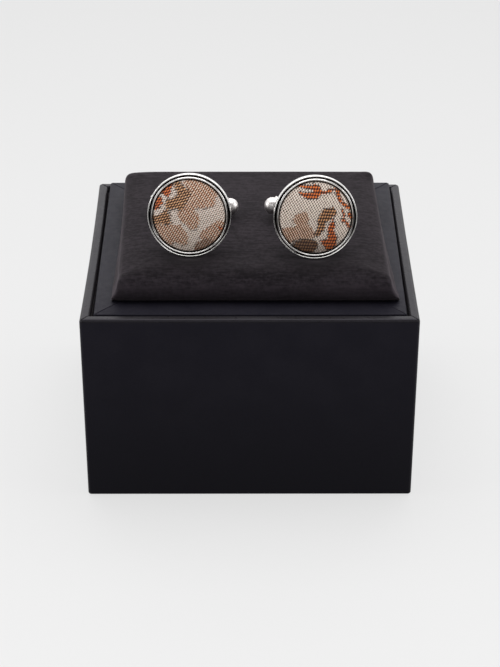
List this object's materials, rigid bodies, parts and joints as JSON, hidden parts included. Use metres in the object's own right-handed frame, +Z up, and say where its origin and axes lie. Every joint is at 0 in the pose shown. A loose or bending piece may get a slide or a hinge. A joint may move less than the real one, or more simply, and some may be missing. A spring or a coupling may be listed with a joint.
{
  "type": "pair of silk cufflinks in a gift box",
  "caption": "Round cufflinks with domed woven silk faces in polished double-ring cups on swivel toggles, standing on the suede pad of a lidless black leatherette gift box.",
  "frame": {"origin": "middle of the underside of the box, on the surface it stands on", "axes": "+X to the right of someone facing the silk faces, +Y to the back, away from that viewer, +Z up; the box's long side runs along X"},
  "size_m": [0.08, 0.072, 0.0762],
  "materials": {
    "leatherette": "black embossed leatherette paper over greyboard, satin",
    "suede": "charcoal suede cloth over firm foam, matt",
    "silver_plate": "polished rhodium-coloured plate over brass",
    "left_silk": "woven silk, cream ground with tan, rust and brown-gold foliage",
    "right_silk": "woven silk, cream ground with rust leaves and a brown-gold motif"
  },
  "bodies": {
    "root": {"outer_box": "leatherette", "insert_platform": "leatherette", "display_pad": "suede", "left_bezel": "silver_plate", "left_silk_dome": "left_silk", "right_bezel": "silver_plate", "right_silk_dome": "right_silk"},
    "left_swivel": {"left_toggle": "silver_plate", "left_pin": "silver_plate"},
    "right_swivel": {"right_toggle": "silver_plate", "right_pin": "silver_plate"}
  },
  "joints": [
    {"name": "left_toggle_swivel", "type": "hinge", "parent": "root", "child": "left_swivel", "pos_m": [-0.01379, 0.0024, 0.06115], "axis": [0.0718, 0.3061, 0.9493], "range_deg": [-15, 5]},
    {"name": "right_toggle_swivel", "type": "hinge", "parent": "root", "child": "right_swivel", "pos_m": [0.01481, 0.00145, 0.0611], "axis": [-0.01, -0.3099, -0.9507], "range_deg": [-9, 15]}
  ]
}
